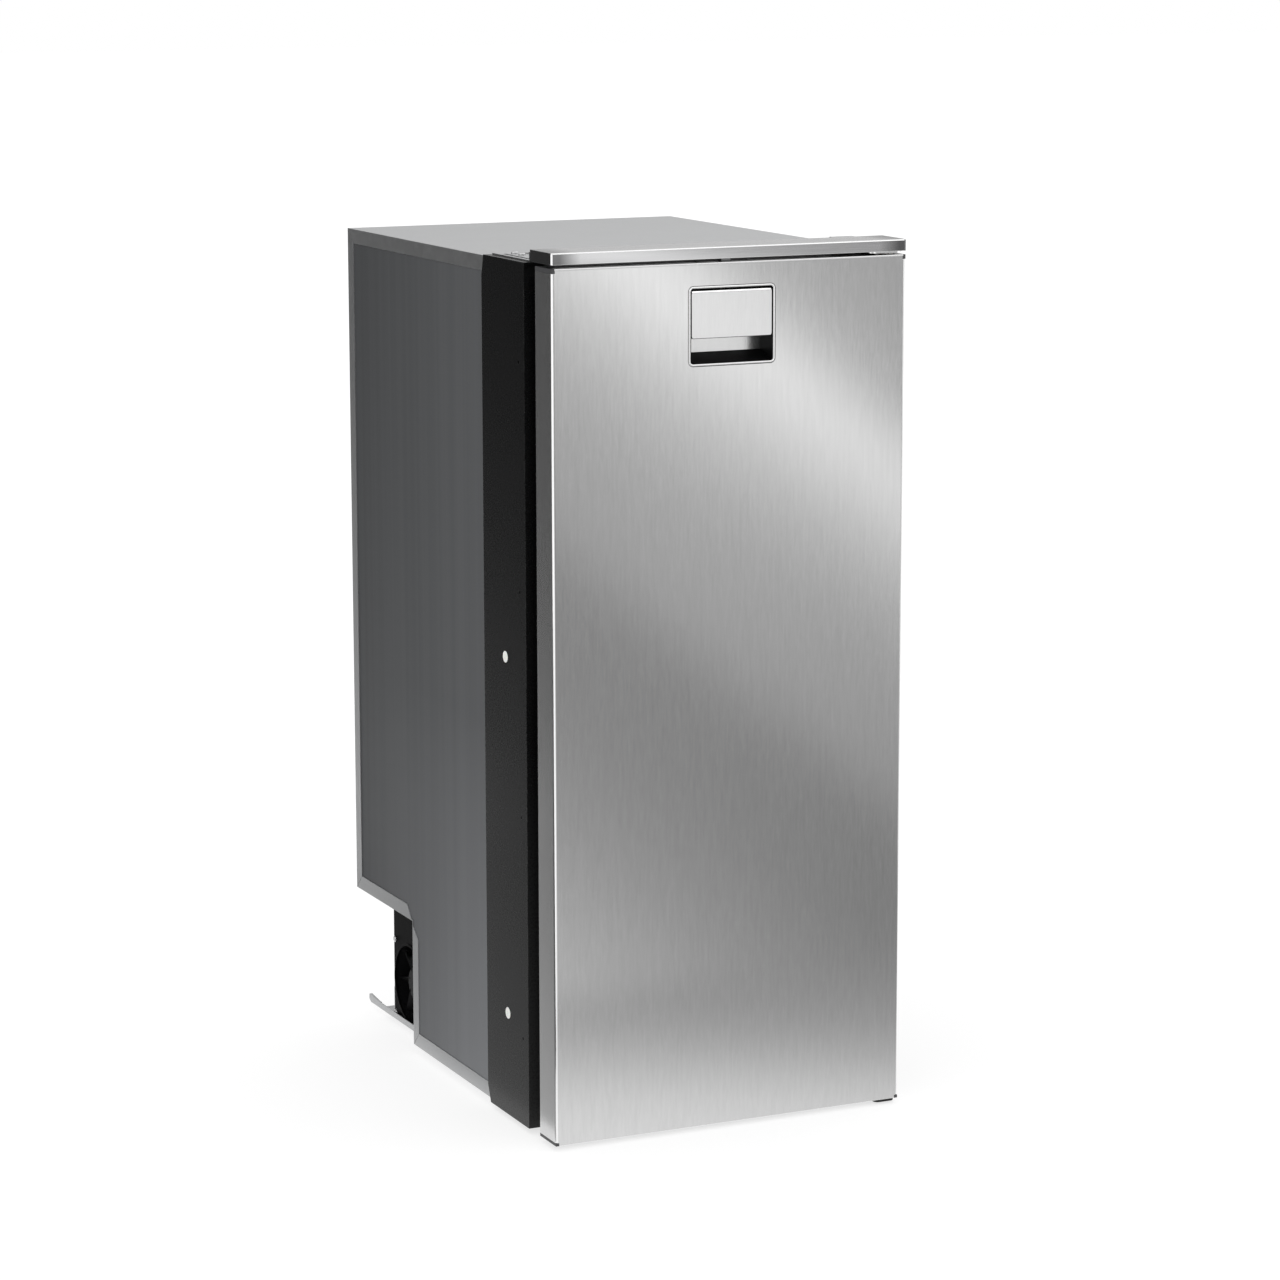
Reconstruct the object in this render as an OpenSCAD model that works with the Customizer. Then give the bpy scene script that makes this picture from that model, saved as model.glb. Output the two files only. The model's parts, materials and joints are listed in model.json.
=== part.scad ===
// Undercounter refrigerator: slim built-in cabinet, right-hinged steel door, rear compressor bay.
// Working datum inside every module: x = 0 on the centre line, y = 0 at the door's face and
// growing towards the back, z = 0 at the door's lower edge. in_place() moves it to the origin
// at the middle of the footprint, on the floor.

/* [Cabinet] */
// Width of the cabinet casing
cabinet_w = 380; // [370:1:400]
// Distance from the door's face to the casing's back
cabinet_d = 540; // [536:1:600]
// Height of the casing's top
cabinet_top = 860.5; // [860.5:0.5:900]
// Underside of the casing in front of the step
casing_z = 4; // [4:0.5:8]
// Distance from the door's face to the step's upright wall
step_y = 376; // [372:1:380]
// Height of the step's underside
step_z = 139; // [138:1:142]
// Width of the folded flange around each side panel
flange_w = 15; // [12:1:20]
// Thickness of casing, panel and skin sheet
sheet = 0.8; // [0.8:0.1:1]
// Height of the feet below the door's lower edge
foot_drop = 6; // [6:1:20]

/* [Collar] */
// Front of the black collar
collar_y = 64; // [64:0.5:66]
// Depth of the collar's sides
collar_d = 105; // [100:1:120]
// Thickness of the collar's sheet
collar_t = 1; // [0.8:0.1:1.2]
// Heights of the screw plugs in the collar's sides
plug_z = [106, 469]; // [80:1:500]
// Heights of the small fixing holes in the collar's sides
fixing_z = [89, 314, 539, 764]; // [80:1:800]
// Radius of a small fixing hole
fixing_r = 1.6; // [1.2:0.1:2]

/* [Door] */
// Height of the door
door_h = 860; // [858:0.5:860.5]
// Thickness of the door behind its steel face
door_t = 39; // [38:1:40]
// Radius of the door's upright edges
door_r = 3; // [2:0.5:4]
// Height of the plastic cap on the door's top
top_cap_h = 4.5; // [4:0.5:6]
// Height of the plastic cap on the door's bottom
bottom_cap_h = 3; // [2.5:0.5:4]

/* [Handle] */
// Width of the handle's bezel
bezel_w = 94; // [90:1:100]
// Lower edge of the bezel
bezel_z0 = 760; // [758:0.5:762]
// Upper edge of the bezel
bezel_z1 = 838; // [837:0.5:839]
// Lower edge of the pull paddle
paddle_z0 = 787; // [785:0.5:790]

/* [Top trim] */
// Lower edge of the steel trim over the door
trim_z0 = 863.5; // [863.5:0.5:864]
// Upper edge of the trim
trim_z1 = 875; // [874:0.5:877]
// Distance the trim stands proud of the door's face
trim_proud = 1; // [0.8:0.1:2]
// Depth of the trim
trim_d = 50.5; // [48:0.5:52]

/* [Compartment] */
// Thickness of the insulation at the sides
wall = 35; // [34:1:36]
// Height of the compartment's floor
floor_z = 44; // [44:1:45]
// Height of the compartment's ceiling
ceiling_z = 820; // [818:1:820]
// Distance from the door's face to the compartment's back wall
back_y = 495; // [493:1:496]
// Heights of the wire shelves' supports
shelf_z = [320, 440, 560]; // [300:1:580]
// Heights of the door bins' floors
bin_z = [190, 400, 610]; // [180:1:620]

/* [Machine bay] */
// Half the width of the base tray
tray_x = 171; // [170:1:174]
// Rear edge of the base tray
tray_y1 = 525; // [524:1:530]
// Rear tip of the tray's pull tabs
tab_y = 557; // [552:1:560]

/* [Hidden] */
$fn = 48;
half_w = cabinet_w / 2;
collar_x = half_w + collar_t;
collar_top = cabinet_top + collar_t;
casing_y = collar_y + collar_t;
trim_y0 = -trim_proud;
trim_y1 = trim_y0 + trim_d;
origin_y = (trim_y0 + tab_y) / 2;
liner_t = 2;
cavity_x = half_w - wall;
inner_step_y = step_y - 40;
inner_step_z = step_z + 40;
opening_x = cavity_x + liner_t;
opening_z = [floor_z - liner_t, ceiling_z + liner_t];
hinge_x = half_w - 12;
hinge_y = 17;
hinge_pin_r = 3;
bush_r = 5.5;
running = 0.05;
plug_y = 115;
fixing_y = 78;
plug_hole_r = 4;
cap_fold_x = half_w - 3.5;
bezel_x = bezel_w / 2;
handle_open_x = bezel_x - 3.2;
handle_open_z = [bezel_z0 + 3, bezel_z1 - 2.7];
cup_depth = 28;
paddle_pivot = [3.5, 831];
paddle_pin_r = 1.5;
latch_top = 863.2;
gasket_x = half_w - 14;
gasket_w = 14;
plinth_x = 150;
plinth_z = [50, 814];
plinth_y = 62;
bin_x = 132;
bin_y1 = 122;
evap_x = 140;
evap_y = [245, 485];
evap_z = [690, 800];
flap_pivot = [239, 794];
flap_pin_r = 1.95;
knob_pos = [262, 632];
knob_shaft_r = 3;
housing_x = 127;
housing_y = [220, 330];
housing_z = [592, 660];
lens_y = [286, 322];
lens_z = [600, 652];
crisper_x = 148;
crisper_y = [140, 330];
drip_y = [248, 470];
shelf_y = [132, 488];
tray_z = 4;
tray_t = 1.2;
fan_x = -165.5;
fan_size = 92;
fan_d = 25;
fan_y = 442;
fan_z = 50;
fan_open_r = 42;
fan_hub_r = 18;
bolt_circle = 41.25;
comp = [20, 452];
comp_r = 58;
comp_z = [18, 122];
suction = [20, 518];
suction_r = 4;
suction_z = 745;
grommet_r = 8;
capillary = [0, 514];
capillary_r = 1.2;
steel = "#D4D4D6";
zinc = "#B9BBBE";
black = "#1C1C1E";
white = "#F2F2EE";
grey = "#5A5C5F";

// ---------------------------------------------------------------- shared shapes

module in_place() translate([0, -origin_y, foot_drop]) children();

module block(lo, hi) translate(lo) cube(hi - lo);

// Solid with a [y, z] outline between two x positions.
module profile_x(points, x0, x1)
    translate([x0, 0, 0]) rotate([90, 0, 90]) linear_extrude(x1 - x0) polygon(points);

// Solid with an [x, z] outline between two y positions.
module profile_y(points, y0, y1)
    translate([0, y1, 0]) rotate([90, 0, 0]) linear_extrude(y1 - y0) polygon(points);

// Solid with an [x, y] outline between two z positions.
module profile_z(points, z0, z1)
    translate([0, 0, z0]) linear_extrude(z1 - z0) polygon(points);

module rod_x(r, y, z, x0, x1) translate([x0, y, z]) rotate([0, 90, 0]) cylinder(r = r, h = x1 - x0);
module rod_y(r, x, z, y0, y1) translate([x, y0, z]) rotate([-90, 0, 0]) cylinder(r = r, h = y1 - y0);
module rod_z(r, x, y, z0, z1) translate([x, y, z0]) cylinder(r = r, h = z1 - z0);

module both_sides() for (s = [0, 1]) mirror([s, 0, 0]) children();

// Corner points of a rectangle whose corners are rounded by arcs of n steps.
function arc(c, r, a0, a1, n) = [for (i = [0:n]) let (a = a0 + (a1 - a0) * i / n) c + r * [cos(a), sin(a)]];
function round_rect(lo, hi, r, n = 6) = concat(
    arc([hi[0] - r, hi[1] - r], r, 0, 90, n), arc([lo[0] + r, hi[1] - r], r, 90, 180, n),
    arc([lo[0] + r, lo[1] + r], r, 180, 270, n), arc([hi[0] - r, lo[1] + r], r, 270, 360, n));

// Side outline of the casing, i inside its outer faces, open towards front.
function casing_outline(i, front) = [
    [front, casing_z + i], [step_y - i, casing_z + i], [step_y - i, step_z + i],
    [cabinet_d - i, step_z + i], [cabinet_d - i, cabinet_top - i], [front, cabinet_top - i]];

// Side outline of the cold compartment, o outside its inner faces.
function cavity_outline(o, front) = [
    [front, floor_z - o], [inner_step_y + o, floor_z - o], [inner_step_y + o, inner_step_z - o],
    [back_y + o, inner_step_z - o], [back_y + o, ceiling_z + o], [front, ceiling_z + o]];

// Pan head of a screw that points along +z, its seat at z = 0 and the head below it.
module pan_head(r, h) {
    translate([0, 0, -h * 0.6]) cylinder(r = r, h = h * 0.6);
    translate([0, 0, -h]) cylinder(r1 = r * 0.7, r2 = r, h = h * 0.4);
}

// Row of pilot bores in both collar sides, with the fixing screws' depth.
module fixing_bores() both_sides() for (z = fixing_z) rod_x(fixing_r, fixing_y, z, half_w - 12, half_w + 3);

// ---------------------------------------------------------------- cabinet shell

module side_flange() difference() {
    profile_x(casing_outline(0, casing_y), half_w - sheet, half_w);
    profile_x(casing_outline(flange_w, casing_y - 1), half_w - sheet - 1, half_w + 1);
    // relief at the step's inner corner, where the two folds can't meet
    profile_x([[step_y + 1, step_z - 2], [step_y + flange_w, step_z + flange_w],
               [step_y - flange_w - 1, step_z + flange_w], [step_y - flange_w - 1, step_z - 18],
               [step_y, step_z - 5]], half_w - sheet - 1, half_w + 1);
    // mitre slits at the three outer corners
    for (c = [[cabinet_d, cabinet_top, 225], [cabinet_d, step_z, 135], [step_y, casing_z, 135]])
        translate([half_w - sheet - 1, c[0], c[1]]) rotate([c[2], 0, 0]) translate([0, 1, -0.25])
            cube([sheet + 2, flange_w * 1.5, 0.5]);
}

module casing() color(zinc) in_place() difference() {
    union() {
        difference() {
            profile_x(casing_outline(0, casing_y), -half_w, half_w);
            profile_x(casing_outline(sheet, casing_y - 1), -half_w - 1, half_w + 1);
        }
        both_sides() side_flange();
    }
    rod_z(grommet_r, suction[0], suction[1], step_z - 1, step_z + sheet + 1);
    rod_z(capillary_r + 0.1, capillary[0], capillary[1], step_z - 1, step_z + sheet + 1);
}

module side_panel() difference() {
    profile_x(casing_outline(sheet, casing_y), half_w - 2 * sheet, half_w - sheet);
    fixing_bores();
}
module side_panel_left() color(grey) in_place() mirror([1, 0, 0]) side_panel();
module side_panel_right() color(grey) in_place() side_panel();

module front_collar() color(black) in_place() difference() {
    rear = collar_y + collar_d;
    union() {
        both_sides() profile_x([[collar_y, 0], [rear - 7, 0], [rear, 17.5], [rear, collar_top - 20.5],
                                [rear - 5, collar_top], [collar_y, collar_top]], half_w, collar_x);
        block([-half_w, collar_y, cabinet_top], [half_w, rear - 5, collar_top]);
        block([-half_w, collar_y, 0], [half_w, rear - 7, collar_t]);
        block([-half_w, rear - 8, collar_t], [half_w, rear - 7, casing_z]);
        difference() {
            block([-half_w, collar_y, 0], [half_w, casing_y, collar_top]);
            block([-opening_x, collar_y - 1, opening_z[0]], [opening_x, casing_y + 1, opening_z[1]]);
        }
    }
    fixing_bores();
    both_sides() for (z = plug_z) rod_x(plug_hole_r, plug_y, z, half_w - 1, collar_x + 1);
}

module cabinet_foam() color("#E9DFA8") in_place() difference() {
    profile_x(casing_outline(sheet, casing_y), -half_w + 2 * sheet, half_w - 2 * sheet);
    profile_x(cavity_outline(liner_t, casing_y - 1), -cavity_x - liner_t, cavity_x + liner_t);
    liner_lip();
    fixing_bores();
    suction_route(suction_r + 0.2);
    rod_z(grommet_r, suction[0], suction[1], step_z, step_z + 6);
    rod_z(capillary_r + 0.1, capillary[0], capillary[1], step_z, step_z + 61);
}

module liner_lip() difference() {
    lip = 10;
    block([-cavity_x - lip, casing_y, floor_z - lip], [cavity_x + lip, casing_y + liner_t, ceiling_z + lip]);
    profile_x(cavity_outline(liner_t, casing_y - 1), -cavity_x - liner_t, cavity_x + liner_t);
}

module inner_liner() color(white) in_place() {
    difference() {
        union() {
            liner_lip();
            difference() {
                profile_x(cavity_outline(liner_t, casing_y), -cavity_x - liner_t, cavity_x + liner_t);
                profile_x(cavity_outline(0, casing_y - 1), -cavity_x, cavity_x);
            }
        }
        rod_y(suction_r + 0.2, suction[0], suction_z, back_y - 1, back_y + liner_t + 1);
    }
    // moulded ledges that carry the shelves and the crisper's cover
    both_sides() for (z = concat([inner_step_z], shelf_z))
        block([cavity_x - 8, shelf_y[0] - 4, z - 5], [cavity_x, z == inner_step_z ? inner_step_y : back_y, z]);
}

// ---------------------------------------------------------------- front trim, hinges and feet

// Outline from above with rounded front corners, drawn in by inset.
function trim_outline(inset) = let (x = half_w + 0.6 - inset, y = trim_y0 + inset, r = 2.6 - inset)
    concat([[x, trim_y1 - inset], [-x, trim_y1 - inset]], arc([-x + r, y + r], r, 180, 270, 6),
           arc([x - r, y + r], r, 270, 360, 6));

module top_trim() color(steel) in_place() difference() {
    profile_z(trim_outline(0), trim_z0, trim_z1);
    profile_z(trim_outline(1), trim_z0 - 1, trim_z1 - 1);
}

bracket_x = [158, 183];
bracket_rear = 160;
bracket_screw_y = [121, 139];

// Right-hand bracket: foot on the collar from y0 back, riser, arm and the lip behind the trim.
module trim_bracket(y0) difference() {
    top = trim_z1 - 4;
    union() {
        block([bracket_x[0], y0, collar_top], [bracket_x[1], bracket_rear, collar_top + 1.5]);
        block([bracket_x[0], y0, collar_top], [bracket_x[1], y0 + 1.5, top]);
        block([bracket_x[0], trim_y1, top - 1.5], [bracket_x[1], y0 + 1.5, top]);
        block([bracket_x[0], trim_y1, trim_z0 + 1], [bracket_x[1], trim_y1 + 1.5, top]);
    }
    for (y = bracket_screw_y) rod_z(1.8, 168, y, collar_top - 1, collar_top + 2);
    block([175, y0 + 8, collar_top - 1], [179, bracket_rear - 14, collar_top + 2]);
}

// The right one starts behind the top hinge plate.
module trim_brackets() color(zinc) in_place() {
    trim_bracket(99);
    mirror([1, 0, 0]) trim_bracket(68);
}

module cross_head_screw(r, shank_r, shank) difference() {
    union() {
        rotate([180, 0, 0]) pan_head(r, 2.5);
        rod_z(shank_r, 0, 0, -shank, 0.5);
    }
    for (a = [0, 90]) translate([0, 0, 2]) rotate([0, 0, a]) translate([-2, -0.4, 0]) cube([4, 0.8, 2]);
}

module strike_plate() color(zinc) in_place() {
    block([-15, 9, trim_z1 - 3], [15, 40, trim_z1 - 1]);
    block([-15, 9, trim_z0], [15, 12, trim_z1 - 3]);
    both_sides() block([12, 12, trim_z0 + 1], [15, 30, trim_z1 - 3]);
}

module collar_plugs() color("white") in_place() both_sides() for (z = plug_z) difference() {
    union() {
        rod_x(plug_hole_r - 0.05, plug_y, z, half_w - 0.6, collar_x);
        rod_x(5.8, plug_y, z, collar_x, collar_x + 0.5);
        translate([collar_x + 0.5, plug_y, z]) rotate([0, 90, 0]) cylinder(r1 = 5.8, r2 = 4.8, h = 0.4);
    }
    rod_x(2, plug_y, z, collar_x + 0.3, collar_x + 2);
}

hinge_plate_x0 = 152;
hinge_screw_y = [74, 88];

module top_hinge_plate() color(zinc) in_place() difference() {
    profile_z(concat([[half_w, 96], [hinge_plate_x0, 96]], arc([hinge_plate_x0 + 8, 12], 8, 180, 270, 6),
                     arc([half_w - 8, 12], 8, 270, 360, 6)), collar_top, collar_top + 1.8);
    rod_z(hinge_pin_r, hinge_x, hinge_y, collar_top - 1, collar_top + 3);
    for (y = hinge_screw_y) rod_z(2.2, half_w - 24, y, collar_top - 1, collar_top + 3);
}

module bottom_hinge_plate() color(grey) in_place() difference() {
    translate([168, 0, 0]) intersection() {
        profile_x([[6, -4.5], [58, -4.5], [62, -3], [112, -3], [112, 0], [65, 0], [60, -1.5], [6, -1.5]], 0, 22.5);
        profile_z(round_rect([0, 6], [22.5, 112], 5), -6, 1);
    }
    rod_z(hinge_pin_r, hinge_x, hinge_y, -6, 0);
    for (y = hinge_screw_y) rod_z(2.2, half_w - 11, y + 8, -5, 1);
}

module hinge_pins() color(steel) in_place() {
    rod_z(hinge_pin_r, hinge_x, hinge_y, door_h - 14, collar_top + 1.8);
    rod_z(hinge_pin_r, hinge_x, hinge_y, -4.5, 12);
}

module collar_screws() color(steel) in_place() {
    both_sides() for (y = bracket_screw_y) translate([168, y, collar_top + 1.5]) cross_head_screw(3.5, 1.7, 1.5);
    for (y = hinge_screw_y) {
        translate([half_w - 24, y, collar_top + 1.8]) cross_head_screw(4, 2.1, 1.8);
        translate([half_w - 11, y + 8, -3]) rotate([180, 0, 0]) cross_head_screw(4, 2.1, 3);
    }
}

module foot(x, y, top) {
    rod_z(15, x, y, -foot_drop, -foot_drop + 3);
    translate([x, y, -foot_drop + 3]) cylinder(r1 = 15, r2 = 11, h = 1.5);
    rod_z(8, x, y, -foot_drop + 4.5, top);
}
module feet() color(black) in_place() both_sides() {
    foot(150, 100, 0);
    foot(140, 508, tray_z - tray_t);
}

// ---------------------------------------------------------------- machine bay

tray_screw_y = 350;

module base_tray() color(zinc) in_place() difference() {
    lip_z = tray_z - tray_t + 6.8;
    union() {
        block([-tray_x, step_y - 38, tray_z - tray_t], [tray_x, tray_y1, tray_z]);
        both_sides() {
            profile_x([[step_y + 2, tray_z], [tray_y1 + 6, tray_z], [tray_y1, lip_z], [step_y + 2, lip_z]],
                      tray_x - tray_t, tray_x);
            // pull tab: the lip carried on past the rear edge
            profile_x([[tray_y1 - 1, tray_z - tray_t], [tab_y - 5, tray_z - tray_t], [tab_y, tray_z + 2],
                       [tab_y, lip_z + 1.5], [tab_y - 3, lip_z + 2.5], [tray_y1 + 4, lip_z], [tray_y1 - 1, lip_z]],
                      tray_x - 2.5, tray_x);
        }
    }
    both_sides() rod_z(2.6, 130, tray_screw_y, 0, 6);
}

module fan_shroud() color(black) in_place() difference() {
    x1 = fan_x;
    x0 = x1 - 2;
    union() {
        block([x0, step_y + 4, tray_z], [x1, fan_y + fan_size / 2, step_z - 2]);
        rod_x(fan_open_r + 2, fan_y, fan_z, x0 - 1, x1);
    }
    rod_x(fan_open_r, fan_y, fan_z, x0 - 2, x1 + 1);
    fan_bolts(2.2, x0 - 2, x1 + 1);
}

module fan_bolts(r, x0, x1)
    for (dy = [-1, 1], dz = [-1, 1]) rod_x(r, fan_y + dy * bolt_circle, fan_z + dz * bolt_circle, x0, x1);

module fan_frame() color(black) in_place() difference() {
    union() {
        difference() {
            profile_x(round_rect([fan_y - fan_size / 2, fan_z - fan_size / 2],
                                 [fan_y + fan_size / 2, fan_z + fan_size / 2], 4), fan_x, fan_x + fan_d);
            rod_x(fan_open_r + 1, fan_y, fan_z, fan_x - 1, fan_x + fan_d + 1);
        }
        rod_x(fan_hub_r, fan_y, fan_z, fan_x + fan_d - 4, fan_x + fan_d);
        for (a = [0, 90, 180, 270]) translate([fan_x + fan_d - 3, fan_y, fan_z]) rotate([a + 20, 0, 0])
            translate([0, 10, -2]) cube([3, fan_open_r - 8, 4]);
    }
    fan_bolts(2.2, fan_x - 1, fan_x + fan_d + 1);
    rod_x(1.5 + running, fan_y, fan_z, fan_x + fan_d - 5, fan_x + fan_d + 1);
}

// Screws of the fan and of the base tray.
module bay_screws() color(steel) in_place() {
    for (dy = [-1, 1], dz = [-1, 1])
        translate([fan_x - 2, fan_y + dy * bolt_circle, fan_z + dz * bolt_circle]) rotate([0, 90, 0]) {
            pan_head(3.5, 2);
            cylinder(r = 2.1, h = fan_d + 2);
        }
    both_sides() {
        translate([130, tray_screw_y, tray_z - tray_t]) pan_head(4.5, 2.4);
        rod_z(2.5, 130, tray_screw_y, tray_z - tray_t, tray_z);
    }
}

module fan_bracket() color(zinc) in_place() {
    y0 = fan_y + fan_size / 2;
    block([fan_x - 2, y0, tray_z], [fan_x + 16, y0 + 1.5, 36]);
    block([fan_x - 2, y0 + 1.5, tray_z], [fan_x + 16, y0 + 16, tray_z + 1.5]);
    translate([fan_x + 7, y0 + 1.5, 28]) rotate([90, 0, 0]) pan_head(3.5, 2.2);
    translate([fan_x + 7, y0 + 9, tray_z + 1.5]) rotate([180, 0, 0]) pan_head(3.5, 2.2);
}

module fan_rotor() color("#2A2A2C") in_place() intersection() {
    rod_x(fan_open_r - 1, fan_y, fan_z, fan_x + 2, fan_x + fan_d);
    union() {
        rod_x(fan_hub_r - 1, fan_y, fan_z, fan_x + 3, fan_x + fan_d - 5);
        rod_x(1.5, fan_y, fan_z, fan_x + fan_d - 5, fan_x + fan_d - 1);
        for (i = [0:6]) translate([fan_x + 11.5, fan_y, fan_z]) rotate([i * 360 / 7, 0, 0])
            rotate([0, 0, 38]) translate([-11, -0.8, 12]) cube([22, 1.6, fan_open_r]);
    }
}

condenser_x = [-138, -74];
condenser_y = [388, 472];
condenser_z = [10, 94];

module condenser() color("#C8CACC") in_place() {
    fin_count = 18;
    fin_pitch = (condenser_y[1] - condenser_y[0] - 1) / (fin_count - 1);
    for (i = [0:fin_count - 1]) {
        y = condenser_y[0] + i * fin_pitch;
        block([condenser_x[0], y, condenser_z[0]], [condenser_x[1], y + 1, condenser_z[1]]);
    }
    for (x = [condenser_x[0] + 14, condenser_x[1] - 14], k = [0:3])
        rod_y(3, x, condenser_z[0] + 12 + 20 * k, condenser_y[0] - 3, condenser_y[1] + 3);
    for (x = [condenser_x[0] + 14, condenser_x[1] - 14], k = [0, 2]) return_bend(x, condenser_z[0] + 22 + 20 * k);
    // side plates stand on the tray
    for (y = [condenser_y[0], condenser_y[1] - 2])
        block([condenser_x[0] + 4, y, tray_z], [condenser_x[1] - 4, y + 2, condenser_z[1]]);
}

module return_bend(x, z) translate([x, condenser_y[1] + 3, z]) rotate([0, 90, 0])
    rotate_extrude(angle = 180) translate([10, 0]) circle(r = 3);

module compressor() color("#202124") in_place() {
    mid = (comp_z[0] + comp_z[1]) / 2;
    dome = 34;
    translate([comp[0], comp[1], 0]) rotate_extrude() polygon(concat(
        [[0, comp_z[0]]], arc([comp_r - dome, comp_z[0] + dome], dome, 270, 360, 8),
        [[comp_r, mid - 4], [comp_r + 3, mid - 4], [comp_r + 3, mid + 1], [comp_r, mid + 1]],
        arc([comp_r - dome, comp_z[1] - dome], dome, 0, 90, 8), [[0, comp_z[1]]]));
    difference() {
        block([comp[0] - 68, comp[1] - 48, 13], [comp[0] + 68, comp[1] + 48, 16]);
        mount_points() rod_z(6, 0, 0, 10, 18);
    }
    rod_z(30, comp[0], comp[1], 15, comp_z[0] + 4);
    rod_y(suction_r, suction[0], 70, comp[1] + comp_r - 4, comp[1] + comp_r + 4);
    rod_x(3, comp[1], 84, comp[0] - comp_r - 4, comp[0] - comp_r + 4);
}

module mount_points() for (dx = [-58, 58], dy = [-38, 38]) translate([comp[0] + dx, comp[1] + dy, 0]) children();

module compressor_mounts() color(black) in_place() mount_points() difference() {
    union() {
        rod_z(8, 0, 0, tray_z, 13);
        rod_z(5.9, 0, 0, 13, 16);
        rod_z(8, 0, 0, 16, 19);
    }
    rod_z(3.1, 0, 0, tray_z - 1, 20);
}

module compressor_bolts() color(steel) in_place() mount_points() {
    rod_z(3, 0, 0, tray_z, 19);
    translate([0, 0, 19]) cylinder(r = 5.5, h = 4, $fn = 6);
}

module discharge_line() color("#B87333") in_place()
    rod_x(3, comp[1], 84, condenser_x[1], comp[0] - comp_r - 4);

// Route of the suction pipe: into the evaporator, down inside the rear insulation, to the compressor.
module suction_route(r) {
    rod_y(r, suction[0], suction_z, evap_y[1], suction[1]);
    translate([suction[0], suction[1], suction_z]) sphere(r = r);
    rod_z(r, suction[0], suction[1], 70, suction_z);
    translate([suction[0], suction[1], 70]) sphere(r = r);
    rod_y(r, suction[0], 70, comp[1] + comp_r + 4, suction[1]);
}
module suction_line() color("#B87333") in_place() suction_route(suction_r);

module suction_grommet() color(black) in_place() difference() {
    union() {
        rod_z(grommet_r, suction[0], suction[1], step_z, step_z + 6);
        rod_z(grommet_r + 3, suction[0], suction[1], step_z - 2, step_z);
    }
    rod_z(suction_r + running, suction[0], suction[1], step_z - 3, step_z + 7);
}

drier_z = 30;
drier_x = [-130, -46];

module filter_drier() color("#B87333") in_place() {
    y = capillary[1];
    rod_x(9, y, drier_z, drier_x[0] + 12, drier_x[1] - 12);
    translate([drier_x[0], y, drier_z]) rotate([0, 90, 0]) cylinder(r1 = 3, r2 = 9, h = 12);
    translate([drier_x[1] - 12, y, drier_z]) rotate([0, 90, 0]) cylinder(r1 = 9, r2 = 3, h = 12);
    // clip that holds the drier to the tray
    block([-96, y - 3, tray_z], [-80, y + 3, drier_z - 8]);
}

module capillary_tube() color("#B87333") in_place() {
    rod_x(capillary_r, capillary[1], drier_z, drier_x[1], capillary[0]);
    translate([capillary[0], capillary[1], drier_z]) sphere(r = capillary_r);
    rod_z(capillary_r, capillary[0], capillary[1], drier_z, step_z + 60);
}

module control_module() color("#303235") in_place() difference() {
    block([104, 396, tray_z], [146, 482, 98]);
    for (k = [0:7]) block([103, 402 + 10 * k, 20], [110, 406 + 10 * k, 90]);
    block([112, 480, 20], [140, 483, 50]);
}

module terminal_block() color("#3B6E4A") in_place() difference() {
    block([113, 480, 21], [139, 494, 49]);
    for (k = [0:3]) rod_y(2.2, 117 + 6 * k, 35, 486, 495);
}

// ---------------------------------------------------------------- cold compartment

module evaporator() color("#D9DCDE") in_place() {
    difference() {
        block([-evap_x, evap_y[0], evap_z[0]], [evap_x, evap_y[1], evap_z[1]]);
        block([-evap_x + 2, evap_y[0] - 1, evap_z[0] + 2], [evap_x - 2, evap_y[1] - 2, evap_z[1] - 2]);
    }
    // roll-bonded refrigerant channels
    for (x = [-100:40:100]) channel_y(x, evap_z[0]);
    both_sides() for (z = [715, 745, 775]) difference() {
        rod_y(4, evap_x, z, evap_y[0] + 12, evap_y[1] - 12);
        block([0, 0, 0], [evap_x - 2, 900, 900]);
    }
    // rails that the drip tray slides in
    both_sides() {
        block([127, drip_y[0] + 2, 675.5], [129, drip_y[1], evap_z[0]]);
        block([121, drip_y[0] + 2, 675.5], [129, drip_y[1], 677.8]);
    }
}
module channel_y(x, z) difference() {
    rod_y(4, x, z, evap_y[0] + 12, evap_y[1] - 12);
    block([-evap_x, 0, z + 2], [evap_x, 900, z + 10]);
}

module evaporator_posts() color(white) in_place() both_sides() for (y = [280, 460])
    rod_z(6, 110, y, evap_z[1], ceiling_z);

module freezer_frame() color(white) in_place() difference() {
    block([-evap_x - 6, 233, evap_z[0] - 6], [evap_x + 6, evap_y[0], evap_z[1] + 6]);
    block([-evap_x + 2, 232, evap_z[0] + 2], [evap_x - 2, evap_y[0] + 1, evap_z[1] - 2]);
    both_sides() rod_x(flap_pin_r + running, flap_pivot[0], flap_pivot[1], evap_x - 3, evap_x + 4);
}

module freezer_flap() color("#DDE8EE") in_place() {
    x = evap_x - 3.5;
    y = flap_pivot[0];
    z0 = evap_z[0] + 3.5;
    block([-x, y - 3, z0], [x, y - 1, flap_pivot[1] + 2]);
    // stiffening rim, hinge barrel and finger grip
    both_sides() block([x - 3, y - 1, z0], [x, y + 3, flap_pivot[1]]);
    block([-x, y - 1, z0], [x, y + 3, z0 + 3]);
    rod_x(3, y, flap_pivot[1], -x, x);
    rod_x(flap_pin_r, y, flap_pivot[1], -evap_x - 3, evap_x + 3);
    block([-30, y - 9, z0 + 4], [30, y - 3, z0 + 7]);
}

module drip_tray() color(white) in_place() {
    z = [664, 680];
    difference() {
        block([-120, drip_y[0], z[0]], [120, drip_y[1], z[1]]);
        block([-118, drip_y[0] + 2, z[0] + 2], [118, drip_y[1] - 2, z[1] + 1]);
    }
    both_sides() block([120, drip_y[0], z[1] - 2], [126, drip_y[1], z[1]]);
    block([-30, drip_y[0] - 8, z[1] - 4], [30, drip_y[0], z[1]]);
}

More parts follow.
